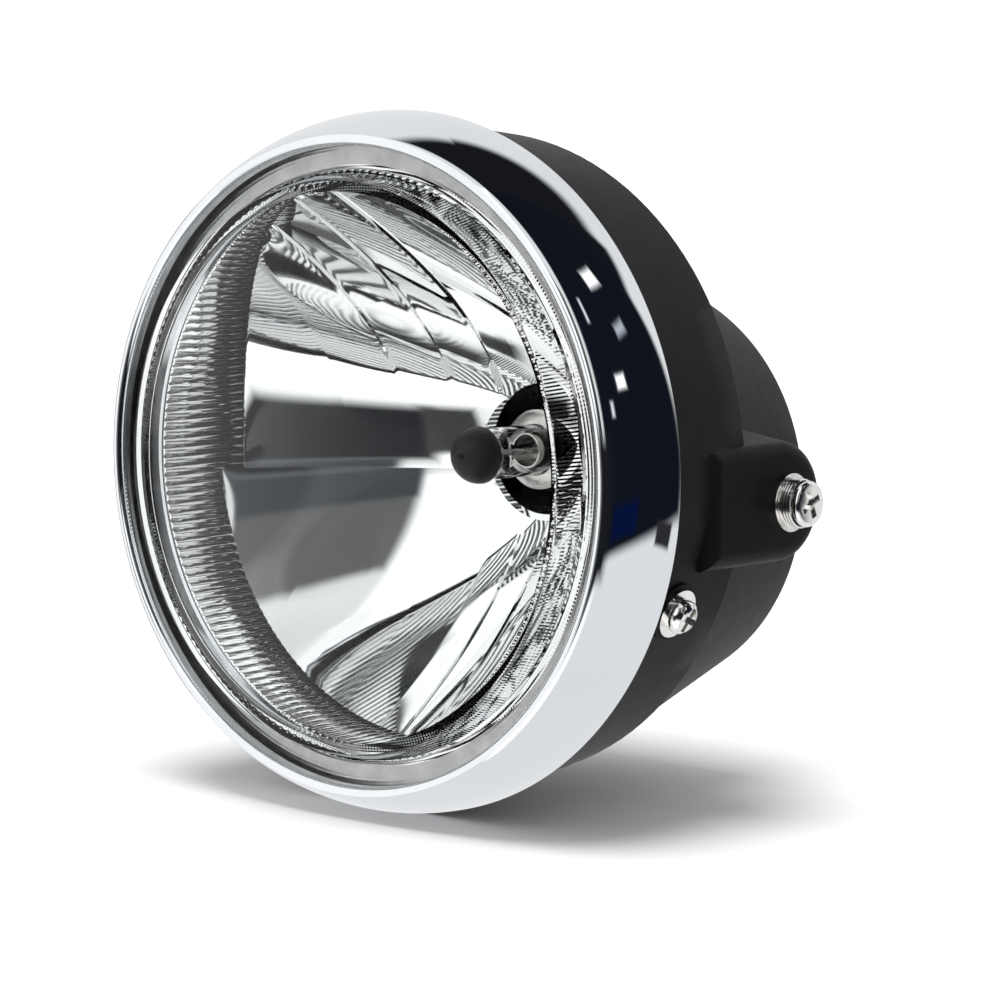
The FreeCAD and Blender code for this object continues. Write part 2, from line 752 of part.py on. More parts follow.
def make_bezel_fixings(name, way):
    """Strap inside the bezel, its nut, and the washer and screw outside the housing."""
    place = towards(screw_place(), screw_way(way))
    seat = "(pad_face+bezel_washer_thickness)"
    top = f"({seat}+bezel_head_height)"
    washer = tube("bezel_screw_radius+play", "bezel_washer_radius", "pad_face", seat)
    keep(turned(f"bezel_washer_{name}", washer, place), f"bezel_washer_{name}")
    bolt = [
        ("0", f"{seat}-bezel_screw_length"),
        ("bezel_screw_radius", f"{seat}-bezel_screw_length"),
        ("bezel_screw_radius", seat),
        ("bezel_head_radius", seat),
        ("bezel_head_radius", f"{top}-bezel_head_bevel"),
        ("bezel_head_radius-bezel_head_bevel", top),
        ("0", top),
    ]
    keep(screw(f"bezel_screw_{name}", bolt, top, place), f"bezel_screw_{name}")
    front = f"({FLANGE_BACK}+play)"
    foot = inside_bezel(front, "strap_width")
    drop = size("screw_drop")
    turn = FreeCAD.Rotation(BACK, drop if way > 0 else 180 - drop)
    strap = extruded(f"bezel_strap_{name}_blank", "XY_Plane", [
        ("strap_face-strap_thickness", front),
        (foot, front),
        (foot, f"{front}+strap_thickness"),
        ("strap_face", f"{front}+strap_thickness"),
        ("strap_face", "strap_end"),
        ("strap_face-strap_thickness", "strap_end"),
    ], "strap_width", FreeCAD.Placement(LAMP, turn))
    hole = cylinder(f"strap_hole_{name}", "bezel_screw_radius+play", "bezel_radius",
                    towards(screw_place(), screw_way(way), UP))
    keep(cut(f"bezel_strap_{name}", strap, hole), f"bezel_strap_{name}")
    nut = doc.addObject("Part::Prism", f"bezel_nut_{name}_blank")
    nut.Polygon = 6
    nut.setExpression("Circumradius", bound("nut_across/sqrt(3)"))
    nut.setExpression("Height", bound("nut_thickness"))
    inner = screw_place() + screw_way(way) * size("strap_face-strap_thickness-nut_thickness")
    nut.Placement = towards(inner, screw_way(way), UP)
    thread = cylinder(f"nut_thread_{name}", "bezel_screw_radius+thread_gap", "bezel_radius",
                      towards(screw_place(), screw_way(way), UP))
    keep(cut(f"bezel_nut_{name}", nut, thread), f"bezel_nut_{name}")


make_lens()
make_bezel()
make_seal()
make_mirror()
make_clips()
make_bulb()
make_bulb_back()
make_housing()
make_grommet()
for side_name, side_way in SIDES.items():
    make_tilt_fixings(side_name, side_way)
    make_bezel_fixings(side_name, side_way)
doc.recompute()

for item in doc.Objects:
    if "Invalid" in item.State or "Error" in item.State:
        raise RuntimeError(f"{item.Label} failed: {item.State}")
for item in PARTS:
    if item.Shape.isNull() or not item.Shape.isValid():
        raise RuntimeError(f"{item.Label} has no valid shape")

os.makedirs("parts", exist_ok=True)
for item in PARTS:
    item.Shape.exportStep(f"parts/{item.Label}.step")
    print(f"{item.Label}: {len(item.Shape.Solids)} solid, {item.Shape.Volume / 1000:.2f} cm3")
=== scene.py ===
import math

import bpy
from mathutils import Matrix, Vector


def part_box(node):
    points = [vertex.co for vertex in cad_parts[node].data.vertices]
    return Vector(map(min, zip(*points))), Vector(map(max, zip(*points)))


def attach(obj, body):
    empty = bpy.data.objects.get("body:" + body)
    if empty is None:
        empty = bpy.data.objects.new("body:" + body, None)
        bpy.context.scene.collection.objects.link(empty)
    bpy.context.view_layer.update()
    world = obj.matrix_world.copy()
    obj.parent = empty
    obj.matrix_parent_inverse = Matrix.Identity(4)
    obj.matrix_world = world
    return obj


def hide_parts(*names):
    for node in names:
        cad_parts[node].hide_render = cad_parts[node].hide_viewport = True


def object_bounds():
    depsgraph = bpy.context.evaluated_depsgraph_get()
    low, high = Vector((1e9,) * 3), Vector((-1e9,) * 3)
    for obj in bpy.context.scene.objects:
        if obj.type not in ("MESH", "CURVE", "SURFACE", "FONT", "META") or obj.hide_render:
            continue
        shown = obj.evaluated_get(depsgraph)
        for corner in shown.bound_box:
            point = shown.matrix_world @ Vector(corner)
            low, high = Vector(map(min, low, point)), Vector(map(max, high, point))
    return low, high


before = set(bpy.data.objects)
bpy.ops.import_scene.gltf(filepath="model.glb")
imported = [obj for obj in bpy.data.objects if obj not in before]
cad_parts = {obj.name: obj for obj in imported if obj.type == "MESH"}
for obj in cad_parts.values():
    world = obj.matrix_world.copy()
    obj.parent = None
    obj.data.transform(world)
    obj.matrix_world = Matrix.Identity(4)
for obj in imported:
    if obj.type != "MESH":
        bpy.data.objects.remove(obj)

CAD_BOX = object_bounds()

# Sizes are in millimetres. A depth runs back from the lens crown, a radius out from the lamp axis.
MM = 0.001
ACROSS = Vector((1, 0, 0))
BACK = Vector((0, 1, 0))
UP = Vector((0, 0, 1))

bezel_low, bezel_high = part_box("bezel")
lens_low, lens_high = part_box("lens")
mirror_low, mirror_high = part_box("reflector")
tip_low, tip_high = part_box("bulb_tip")
collar_low, collar_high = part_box("tilt_collar_left")
screw_low, screw_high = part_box("tilt_screw_left")
LAMP = Vector((0, lens_low.y, (bezel_low.z + bezel_high.z) / 2))


def depth_of(y):
    """Depth behind the lens crown of a place in the frame."""
    return (y - LAMP.y) / MM


def half_width(low, high):
    """Radius of a round piece, read from its box."""
    return (high.x - low.x) / 2 / MM


BEZEL_RADIUS = half_width(bezel_low, bezel_high)
BEZEL_REAR = depth_of(bezel_high.y)
CREST_DEPTH = depth_of(bezel_low.y)
LIP_RADIUS = BEZEL_RADIUS - 9.1
CREST_BEND = 1.6
BEZEL_SHEET = 0.8
LIP_GAP = 0.05

RIM_RADIUS = half_width(lens_low, lens_high)
RIM_BACK = depth_of(lens_high.y)
RIM_FRONT = RIM_BACK - 4.4
DOME_RADIUS = RIM_RADIUS - 11.5
DOME_RISE = 11.0
SHOULDER_RADIUS = DOME_RADIUS + 2.4
GLASS_WALL = 3.0
GROOVE_WIDTH = 1.0
GROOVE_DEPTH = 0.6
DOT_ROWS = 5
DOT_PITCH = 1.05
DOT_HEIGHT = 0.10
DOTS_ROUND = 480
DOT_MARGIN = 0.1
RIM_TOLERANCE = 0.01

FLANGE_FRONT = depth_of(mirror_low.y)
FLANGE_RADIUS = half_width(mirror_low, mirror_high)
FLANGE_THICKNESS = 3.0
FLUTE_RADIUS = FLANGE_RADIUS - 11.5
FLUTE_HEIGHT = 0.9
FLUTE_COUNT = 184
FLUTE_STEPS = 6
FLUTE_RUN_OUT = 2.5
COLLAR_BACK = depth_of(mirror_high.y)
MIRROR_VERTEX = COLLAR_BACK - 12.0
UPPER_FOCUS_WIDE = 29.0
UPPER_FOCUS_TALL = 17.0
LOWER_FOCUS = 24.3
LEDGE_DROP = 7.0
LEDGE_SLOPE = 0.01
DISH_MARGIN = 0.1
DISH_HALF_ROWS = 40
COLUMN_EDGES = (-53, -40, -27, -14, -6, 2, 10, 18, 26)
UPPER_COLUMNS_END = -14
COLUMN_SLOPE = 0.15
UPPER_STEP = 1.5
LOWER_STEP = 0.9
COLUMN_START = 14.0
COLUMN_GROWTH = 36.0
MIRROR_WALL = 1.2
NECK_RADIUS = 17.5
NECK_FLOOR = COLLAR_BACK - 8.0
NECK_HOLE = 11.05
SEAT_DEPTH = COLLAR_BACK - 4.0
SEAT_RADIUS = 20.0
COLLAR_RADIUS = 22.5

TIP_RADIUS = half_width(tip_low, tip_high)
TIP_DEPTH = depth_of(tip_high.y)
TIP_COAT = 0.4
NIB_RADIUS = 1.1

TILT_AXIS = Vector((0, 0, 0))
TILT_HOLE = 3.2
TILT_COLLAR_RADIUS = (collar_high.z - collar_low.z) / 2 / MM
TILT_COLLAR_START = collar_low.x / MM
TILT_COLLAR_END = collar_high.x / MM
TILT_RIDGES = 4
TILT_RIDGE_HEIGHT = 0.45
TILT_RIDGE_FLAT = (0.35, 0.65)
TILT_SHANK_RADIUS = 3.0
TILT_SHANK_START = screw_low.x / MM
TILT_HEAD_RADIUS = (screw_high.z - screw_low.z) / 2 / MM
TILT_HEAD_TOP = screw_high.x / MM
TILT_HEAD_INSET = 0.15
TILT_HEAD_ROUND = 1.0
TILT_TEETH = 60
TILT_TOOTH_HEIGHT = 0.35
TILT_TOOTH_LENGTH = 0.9
TILT_TOOTH_SLOPE = 0.1
RECESS_LENGTH = 7.4
RECESS_WIDTH = 1.9
RECESS_DEPTH = 1.5
RECESS_TURN = 25

MERGE_TURNED = 0.004
MERGE_COPY = 0.002
METAL_RELIEF = 0.02
DULL_RELIEF = 0.05


# Modelling helpers

def nothing_selected():
    """Leaves edit mode and drops every selection."""
    if bpy.context.object and bpy.context.object.mode != "OBJECT":
        bpy.ops.object.mode_set(mode="OBJECT")
    bpy.ops.object.select_all(action="DESELECT")


def only(piece):
    """Makes one piece the selected and active one."""
    nothing_selected()
    piece.select_set(True)
    bpy.context.view_layer.objects.active = piece


def lathe_point(place, along, out, radius, length):
    """Place in the frame of a point on a lathe outline."""
    return place + along * length * MM + out * radius * MM


def turned(name, outline, steps, place=LAMP, along=BACK, out=ACROSS):
    """Turns an outline of (radius, length along the axis) as on a lathe."""
    nothing_selected()
    points = [lathe_point(place, along, out, *corner) for corner in outline]
    bpy.ops.mesh.primitive_plane_add(size=MM, location=points[0])
    piece = bpy.context.object
    piece.name = name
    piece.data.name = name
    bpy.ops.object.transform_apply(location=True, rotation=False, scale=False)
    bpy.ops.object.mode_set(mode="EDIT")
    bpy.ops.mesh.select_all(action="SELECT")
    bpy.ops.mesh.merge(type="CENTER")
    for before, after in zip(points, points[1:]):
        bpy.ops.mesh.extrude_vertices_move(TRANSFORM_OT_translate={"value": after - before})
    bpy.ops.mesh.select_all(action="SELECT")
    bpy.ops.mesh.spin(steps=steps, angle=math.tau, center=place, axis=along)
    bpy.ops.mesh.select_all(action="SELECT")
    bpy.ops.mesh.remove_doubles(threshold=MERGE_TURNED * MM)
    bpy.ops.mesh.normals_make_consistent(inside=False)
    bpy.ops.object.mode_set(mode="OBJECT")
    return piece


def arc(centre, radius, start, end, count):
    """Points of an arc in an outline, from one angle to another in degrees."""
    points = []
    for index in range(count + 1):
        angle = math.radians(start + (end - start) * index / count)
        points.append((centre[0] + radius * math.cos(angle), centre[1] + radius * math.sin(angle)))
    return points


def run(start, end, count):
    """Points of a straight stretch of an outline, without its start."""
    points = []
    for index in range(1, count + 1):
        share = index / count
        points.append((start[0] + (end[0] - start[0]) * share, start[1] + (end[1] - start[1]) * share))
    return points


def smooth(piece, angle=30):
    """Smooth shading that keeps edges sharper than an angle."""
    only(piece)
    bpy.ops.object.shade_smooth_by_angle(angle=math.radians(angle))


def pick_vertices(piece, test):
    """Opens a piece in edit mode with only the vertices that pass a test selected."""
    only(piece)
    bpy.ops.object.mode_set(mode="EDIT")
    bpy.ops.mesh.select_mode(type="VERT")
    bpy.ops.mesh.select_all(action="DESELECT")
    bpy.ops.object.mode_set(mode="OBJECT")
    for vertex in piece.data.vertices:
        vertex.select = test(vertex.co)
    bpy.ops.object.mode_set(mode="EDIT")


def off_axis(point):
    """Radius and angle about the lamp axis, and depth, of a place in the frame."""
    x, z = point.x / MM, (point.z - LAMP.z) / MM
    return math.hypot(x, z), math.atan2(z, x), depth_of(point.y)


def applied(piece, kind, **settings):
    """Adds a modifier with its settings and applies it."""
    only(piece)
    modifier = piece.modifiers.new(kind.lower(), kind)
    for key, value in settings.items():
        setattr(modifier, key, value)
    bpy.ops.object.modifier_apply(modifier=modifier.name)


def joined(name, pieces):
    """Several meshes as one piece."""
    only(pieces[0])
    for piece in pieces[1:]:
        piece.select_set(True)
    bpy.ops.object.join()
    pieces[0].name = name
    pieces[0].data.name = name
    return pieces[0]


def copy_of(node, name, angle=30):
    """Copy of a CAD node with its triangles merged and its curved faces smooth."""
    nothing_selected()
    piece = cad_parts[node].copy()
    piece.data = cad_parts[node].data.copy()
    for key in list(piece.keys()):
        del piece[key]
    piece.parent = None
    piece.matrix_world = Matrix.Identity(4)
    piece.name = name
    piece.data.name = name
    bpy.context.scene.collection.objects.link(piece)
    only(piece)
    bpy.ops.object.mode_set(mode="EDIT")
    bpy.ops.mesh.select_all(action="SELECT")
    bpy.ops.mesh.customdata_custom_splitnormals_clear()
    bpy.ops.mesh.remove_doubles(threshold=MERGE_COPY * MM)
    bpy.ops.object.mode_set(mode="OBJECT")
    smooth(piece, angle)
    return piece


def fit(piece, node, finish):
    """Puts a finished piece in the place of its CAD node, with its finish."""
    piece.data.materials.clear()
    piece.data.materials.append(finish)
    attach(piece, "root")
    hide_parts(node)


# Finishes

# A finish has a pattern of tone and a finer one of polish. Each runs from low to high over its span.
TONE_SPAN = (0.3, 0.7)
POLISH_SPAN = (0.25, 0.75)
METAL_POLISH = 3
METAL_GRAIN = 12
DULL_POLISH = 4
GLASS_POLISH = 5
GLASS_ROUGHNESS = 0.012
GLASS_REFRACTION = 1.5
GLASS_GLOSS = 0.1
GLASS_GLOSS_TINT = (0.08, 0.08, 0.08)
# Painted shade and dark reflection inside the mirror's neck: its colour, and the span past the neck's
# radius, in millimetres, over which it gives way to the mirror's own colour.
NECK_PAINTED_SHADE = (0.03, 0.03, 0.03)
NECK_PAINTED_SHADE_SPAN = (0.05, 0.25)


def new_finish(name):
    """Empty node finish, with its shader and object coordinates."""
    material = bpy.data.materials.new(name)
    material.use_nodes = True
    tree = material.node_tree
    shader = tree.nodes["Principled BSDF"]
    places = tree.nodes.new("ShaderNodeTexCoord").outputs["Object"]
    return material, tree, shader, places


def noise(tree, places, scale, detail=3.0):
    """Fine irregular pattern."""
    pattern = tree.nodes.new("ShaderNodeTexNoise")
    pattern.inputs["Scale"].default_value = scale
    pattern.inputs["Detail"].default_value = detail
    tree.links.new(places, pattern.inputs["Vector"])
    return pattern.outputs["Fac"]


def blend(tree, share, low, high):
    """Colour that runs between two colours as a share rises."""
    ramp = tree.nodes.new("ShaderNodeValToRGB")
    ramp.color_ramp.elements[0].position = TONE_SPAN[0]
    ramp.color_ramp.elements[0].color = (*low, 1)
    ramp.color_ramp.elements[1].position = TONE_SPAN[1]
    ramp.color_ramp.elements[1].color = (*high, 1)
    tree.links.new(share, ramp.inputs["Fac"])
    return ramp.outputs["Color"]


def spread(tree, share, low, high):
    """Number that runs between two values as a share rises."""
    span = tree.nodes.new("ShaderNodeMapRange")
    span.inputs["From Min"].default_value = POLISH_SPAN[0]
    span.inputs["From Max"].default_value = POLISH_SPAN[1]
    span.inputs["To Min"].default_value = low
    span.inputs["To Max"].default_value = high
    tree.links.new(share, span.inputs["Value"])
    return span.outputs["Result"]


def dimple(tree, shader, share, strength, distance):
    """Fine relief from a pattern."""
    bump = tree.nodes.new("ShaderNodeBump")
    bump.inputs["Strength"].default_value = strength
    bump.inputs["Distance"].default_value = distance
    tree.links.new(share, bump.inputs["Height"])
    tree.links.new(bump.outputs["Normal"], shader.inputs["Normal"])


def varied(tree, shader, tone_pattern, tones, polish_pattern, roughness):
    """Small changes of tone and polish over a finish."""
    tree.links.new(blend(tree, tone_pattern, *tones), shader.inputs["Base Color"])
    tree.links.new(spread(tree, polish_pattern, *roughness), shader.inputs["Roughness"])


def metal(name, low, high, rough_low, rough_high, scale, bump=0.0):
    """Bare or plated metal with small changes of tone and polish."""
    material, tree, shader, places = new_finish(name)
    tone = noise(tree, places, scale)
    polish = noise(tree, places, scale * METAL_POLISH)
    varied(tree, shader, tone, (low, high), polish, (rough_low, rough_high))
    shader.inputs["Metallic"].default_value = 1.0
    if bump:
        dimple(tree, shader, noise(tree, places, scale * METAL_GRAIN), bump, METAL_RELIEF * MM)
    return material


def dull(name, low, high, rough_low, rough_high, scale, bump=0.0, grain=900.0, level=0.5):
    """Rubber, moulding, coating or ceramic with a fine grain."""
    material, tree, shader, places = new_finish(name)
    tone = noise(tree, places, scale)
    polish = noise(tree, places, scale * DULL_POLISH)
    varied(tree, shader, tone, (low, high), polish, (rough_low, rough_high))
    shader.inputs["Specular IOR Level"].default_value = level
    if bump:
        dimple(tree, shader, noise(tree, places, grain, detail=2.0), bump, DULL_RELIEF * MM)
    return material


def clear(name, low, high, scale):
    """Clear glass of little gloss, with a faint change of tint."""
    material, tree, shader, places = new_finish(name)
    tone = noise(tree, places, scale)
    polish = noise(tree, places, scale * GLASS_POLISH)
    varied(tree, shader, tone, (low, high), polish, (0.0, GLASS_ROUGHNESS))
    shader.inputs["Transmission Weight"].default_value = 1.0
    shader.inputs["IOR"].default_value = GLASS_REFRACTION
    shader.inputs["Specular IOR Level"].default_value = GLASS_GLOSS
    shader.inputs["Specular Tint"].default_value = (*GLASS_GLOSS_TINT, 1)
    return material


def painted_neck_shade(material):
    """Darkens a mirror finish inside the neck with painted shade and a painted dark reflection; the neck is
    coated like the rest of the mirror.
    """
    tree = material.node_tree
    shader = tree.nodes["Principled BSDF"]
    places = tree.nodes["Texture Coordinate"].outputs["Object"]
    bright = shader.inputs["Base Color"].links[0].from_socket
    off = tree.nodes.new("ShaderNodeVectorMath")
    off.operation = "MULTIPLY_ADD"
    off.inputs[1].default_value = ACROSS + UP
    off.inputs[2].default_value = -UP * LAMP.z
    tree.links.new(places, off.inputs[0])
    away = tree.nodes.new("ShaderNodeVectorMath")
    away.operation = "LENGTH"
    tree.links.new(off.outputs["Vector"], away.inputs[0])
    span = tree.nodes.new("ShaderNodeMapRange")
    span.inputs["From Min"].default_value = (NECK_RADIUS + NECK_PAINTED_SHADE_SPAN[0]) * MM
    span.inputs["From Max"].default_value = (NECK_RADIUS + NECK_PAINTED_SHADE_SPAN[1]) * MM
    tree.links.new(away.outputs["Value"], span.inputs["Value"])
    # Painted shade and dark reflection inside the neck's radius, the mirror's own colour outside it.
    mix = tree.nodes.new("ShaderNodeMix")
    mix.data_type = "RGBA"
    tree.links.new(span.outputs["Result"], mix.inputs["Factor"])
    mix.inputs["A"].default_value = (*NECK_PAINTED_SHADE, 1)
    tree.links.new(bright, mix.inputs["B"])
    tree.links.new(mix.outputs["Result"], shader.inputs["Base Color"])


CHROME = metal("chrome", (0.76, 0.78, 0.81), (0.82, 0.84, 0.86), 0.02, 0.05, 18)
MIRROR = metal("mirror", (0.88, 0.885, 0.885), (0.92, 0.925, 0.925), 0.015, 0.03, 30)
# The mirror's neck gets painted shade and a painted dark reflection.
painted_neck_shade(MIRROR)
LENS_GLASS = clear("lens_glass", (0.965, 0.98, 0.98), (0.99, 0.995, 0.995), 20)
BULB_GLASS = clear("bulb_glass", (0.95, 0.96, 0.96), (0.99, 0.99, 0.99), 60)
SEAL_SILVER = metal("seal_rubber", (0.44, 0.44, 0.43), (0.58, 0.58, 0.57), 0.28, 0.40, 160, bump=0.3)
SPRING_STEEL = metal("spring_steel", (0.45, 0.45, 0.46), (0.6, 0.6, 0.6), 0.2, 0.35, 150)
BULB_BLACK = dull(
    "bulb_black", (0.010, 0.010, 0.010), (0.016, 0.016, 0.016), 0.42, 0.55, 260,
    bump=0.12, grain=2600, level=0.35)
BULB_METAL = metal("bulb_metal", (0.55, 0.54, 0.52), (0.68, 0.67, 0.64), 0.14, 0.28, 180)
TUNGSTEN = metal("tungsten", (0.25, 0.25, 0.26), (0.36, 0.36, 0.37), 0.35, 0.5, 900)
BULB_CERAMIC = dull("bulb_ceramic", (0.5, 0.49, 0.46), (0.62, 0.61, 0.57), 0.45, 0.6, 200, bump=0.15)
BRASS = metal("brass", (0.6, 0.42, 0.16), (0.74, 0.55, 0.24), 0.22, 0.38, 160)
RUBBER = dull("rubber", (0.014, 0.014, 0.014), (0.026, 0.026, 0.026), 0.6, 0.8, 90, bump=0.25)
HOUSING_PLASTIC = dull(
    "housing_plastic", (0.0042, 0.0042, 0.0046), (0.0056, 0.0056, 0.0060), 0.46, 0.51, 60,
    bump=0.12, grain=1800, level=0.10)
ZINC = metal("zinc", (0.80, 0.79, 0.77), (0.92, 0.91, 0.89), 0.10, 0.20, 240)


# Bezel and lens

def make_bezel():
    """Pressed chrome ring: a wide bulge, a tight crest and a lip that turns in to the lens."""
    bend = (LIP_RADIUS + CREST_BEND, CREST_DEPTH + CREST_BEND)
    fall, length = BEZEL_RADIUS - bend[0], BEZEL_REAR - bend[1]
    bulge = (fall ** 2 + length ** 2 - CREST_BEND ** 2) / (2 * (fall - CREST_BEND))
    middle = (BEZEL_RADIUS - bulge, BEZEL_REAR)
    meet = -math.degrees(math.atan2(middle[1] - bend[1], bend[0] - middle[0]))
    outside = arc(middle, bulge, 0, meet, count=28)
    outside += arc(bend, CREST_BEND, meet, -180, count=16)[1:]
    outside.append((LIP_RADIUS, RIM_FRONT - LIP_GAP))
    inside = [(LIP_RADIUS + BEZEL_SHEET, RIM_FRONT - LIP_GAP)]
    inside += arc(bend, CREST_BEND - BEZEL_SHEET, -180, meet, count=10)
    inside += arc(middle, bulge - BEZEL_SHEET, meet, 0, count=20)[1:]
    outline = outside + inside + outside[:1]
    piece = turned("bezel_ring", outline, steps=400)
    smooth(piece, angle=40)
    fit(piece, "bezel", CHROME)


def make_lens():
    """Clear domed glass; rows of small dots cover its shoulder and its flat rim."""
    ball = (DOME_RADIUS ** 2 + DOME_RISE ** 2) / (2 * DOME_RISE)
    edge = math.degrees(math.asin(DOME_RADIUS / ball))
    inner_edge = DOME_RADIUS - GLASS_WALL
    inner_ball = ball - GLASS_WALL
    inner_angle = math.degrees(math.asin(inner_edge / inner_ball))
    groove_in = (SHOULDER_RADIUS, RIM_FRONT)
    groove_out = (SHOULDER_RADIUS + GROOVE_WIDTH, RIM_FRONT)
    dots_end = (groove_out[0] + DOT_ROWS * DOT_PITCH, RIM_FRONT)
    outline = arc((0, ball), ball, -90, edge - 90, count=26)
    outline += run(outline[-1], groove_in, 2 * DOT_ROWS)
    outline.append((SHOULDER_RADIUS + GROOVE_WIDTH / 2, RIM_FRONT + GROOVE_DEPTH))
    outline.append(groove_out)
    outline += run(groove_out, dots_end, 2 * DOT_ROWS)
    outline += [(RIM_RADIUS, RIM_FRONT), (RIM_RADIUS, RIM_BACK), (SHOULDER_RADIUS - GLASS_WALL, RIM_BACK)]
    outline += arc((0, ball), inner_ball, inner_angle - 90, -90, count=20)
    piece = turned("lens_dome", outline, steps=2 * DOTS_ROUND)

    def is_dot(point):
        radius, angle, depth = off_axis(point)
        if round(angle / math.tau * 2 * DOTS_ROUND) % 2:
            return False
        on_rim = abs(depth - RIM_FRONT) < RIM_TOLERANCE and groove_out[0] < radius < dots_end[0]
        on_shoulder = DOME_RISE + DOT_MARGIN < depth < RIM_FRONT - DOT_MARGIN and radius > DOME_RADIUS
        if on_rim:
            return round((radius - groove_out[0]) / DOT_PITCH * 2) % 2 == 1
        if on_shoulder:
            row = (depth - DOME_RISE) / (RIM_FRONT - DOME_RISE) * 2 * DOT_ROWS
            return round(row) % 2 == 1
        return False

    pick_vertices(piece, is_dot)
    bpy.ops.transform.shrink_fatten(value=DOT_HEIGHT * MM)
    bpy.ops.object.mode_set(mode="OBJECT")
    smooth(piece, angle=9)
    fit(piece, "lens", LENS_GLASS)


# Mirror

def dish_depth(x, z):
    """Depth of the mirror face without its columns, above or below its ledge."""
    if z >= -LEDGE_DROP:
        depth = MIRROR_VERTEX - x * x / (4 * UPPER_FOCUS_WIDE) - z * z / (4 * UPPER_FOCUS_TALL)
    else:
        depth = MIRROR_VERTEX - (x * x + z * z) / (4 * LOWER_FOCUS)
    return max(depth, FLANGE_FRONT)


def column_rise(x, share, z):
    """How far a column stands forward: more across its width, and more away from the lamp's middle."""
    growth = min(max((abs(z) - COLUMN_START) / COLUMN_GROWTH, 0), 1)
    upper_column = x < UPPER_COLUMNS_END
    if upper_column != (z > 0):
        return 0
    step = UPPER_STEP if upper_column else LOWER_STEP
    return step * share * growth * growth * (3 - 2 * growth)


def column_lines():
    """Places across the mirror where its mesh has lines, each with its share of its column's width."""
    reach = math.sqrt(FLUTE_RADIUS ** 2 - LEDGE_DROP ** 2) - DISH_MARGIN
    lines = [(x, 0) for x, _ in run((-reach, 0), (COLUMN_EDGES[0] - COLUMN_SLOPE, 0), count=8)]
    for left, right in zip(COLUMN_EDGES, COLUMN_EDGES[1:]):
        lines.append((left + COLUMN_SLOPE, 0))
        lines += run((left + COLUMN_SLOPE, 0), (right - COLUMN_SLOPE, 1), count=10)
    end = COLUMN_EDGES[-1] + COLUMN_SLOPE
    lines += [(end, 0)] + [(x, 0) for x, _ in run((end, 0), (reach, 0), count=18)]
    return [(-reach, 0)] + lines


def faced(piece, looks_right):
    """Turns an open sheet over if a face of it fails a test of place and normal."""
    only(piece)
    bpy.ops.object.mode_set(mode="EDIT")
    bpy.ops.mesh.select_all(action="SELECT")
    bpy.ops.mesh.normals_make_consistent(inside=False)
    bpy.ops.object.mode_set(mode="OBJECT")
    middle = piece.data.polygons[len(piece.data.polygons) // 2]
    if not looks_right(middle.center, middle.normal):
        bpy.ops.object.mode_set(mode="EDIT")
        bpy.ops.mesh.flip_normals()
        bpy.ops.object.mode_set(mode="OBJECT")


def make_dish():
    """Mirror face in stepped columns above and below its ledge, with the round opening of its neck."""
    lines = column_lines()
    nothing_selected()
    bpy.ops.mesh.primitive_grid_add(
        x_subdivisions=len(lines) - 1, y_subdivisions=2 * DISH_HALF_ROWS + 1, size=2)
    piece = bpy.context.object
    for number, vertex in enumerate(piece.data.vertices):
        row, place = divmod(number, len(lines))
        x, share = lines[place]
        top = math.sqrt(FLUTE_RADIUS ** 2 - x * x)
        if row > DISH_HALF_ROWS:
            z = -LEDGE_DROP + (top + LEDGE_DROP) * (row - DISH_HALF_ROWS - 1) / DISH_HALF_ROWS
        else:
            drop = LEDGE_DROP + LEDGE_SLOPE
            z = -drop - (top - drop) * (DISH_HALF_ROWS - row) / DISH_HALF_ROWS
        depth = dish_depth(x, z) - column_rise(x, share, z)
        vertex.co = LAMP + Vector((x, depth, z)) * MM
    faced(piece, lambda place, normal: normal.y < 0)
    applied(piece, "SOLIDIFY", thickness=MIRROR_WALL * MM, offset=-1)
    nothing_selected()
    bpy.ops.mesh.primitive_cylinder_add(
        vertices=160, radius=NECK_RADIUS * MM, depth=2 * NECK_RADIUS * MM,
        location=LAMP + BACK * MIRROR_VERTEX * MM, rotation=(math.pi / 2, 0, 0))
    cutter = bpy.context.object
    applied(piece, "BOOLEAN", object=cutter, operation="DIFFERENCE", solver="EXACT")
    bpy.data.objects.remove(cutter)
    smooth(piece, angle=25)
    return piece


def make_flutes():
    """Fluted side wall from the flange back to the mirror face, where the flutes run out."""
    around = FLUTE_COUNT * FLUTE_STEPS
    nothing_selected()
    bpy.ops.mesh.primitive_circle_add(
        vertices=around, radius=FLUTE_RADIUS * MM, location=LAMP, rotation=(math.pi / 2, 0, 0))
    piece = bpy.context.object
    bpy.ops.object.transform_apply(location=True, rotation=True, scale=True)
    bpy.ops.object.mode_set(mode="EDIT")
    bpy.ops.mesh.select_all(action="SELECT")
    for _ in range(2):
        bpy.ops.mesh.extrude_edges_move(TRANSFORM_OT_translate={"value": BACK * MM})
    bpy.ops.object.mode_set(mode="OBJECT")
    # The three rings still lie 1 mm apart, so a vertex's depth counts its ring.
    for vertex in piece.data.vertices:
        _, angle, depth = off_axis(vertex.co)
        ring = round(depth)
        rear = dish_depth(FLUTE_RADIUS * math.cos(angle), FLUTE_RADIUS * math.sin(angle)) + MIRROR_WALL / 2
        height = FLUTE_HEIGHT * abs(math.sin(math.pi * angle / math.tau * FLUTE_COUNT))
        radius = FLUTE_RADIUS - (0 if ring == 2 else height)
        new_depth = (FLANGE_FRONT, rear - FLUTE_RUN_OUT, rear)[ring]
        vertex.co = LAMP + Vector((radius * math.cos(angle), new_depth, radius * math.sin(angle))) * MM
    faced(piece, lambda place, normal: normal.dot(place - LAMP) < 0)
    applied(piece, "SOLIDIFY", thickness=MIRROR_WALL * MM, offset=-1)
    smooth(piece, angle=60)
    return piece


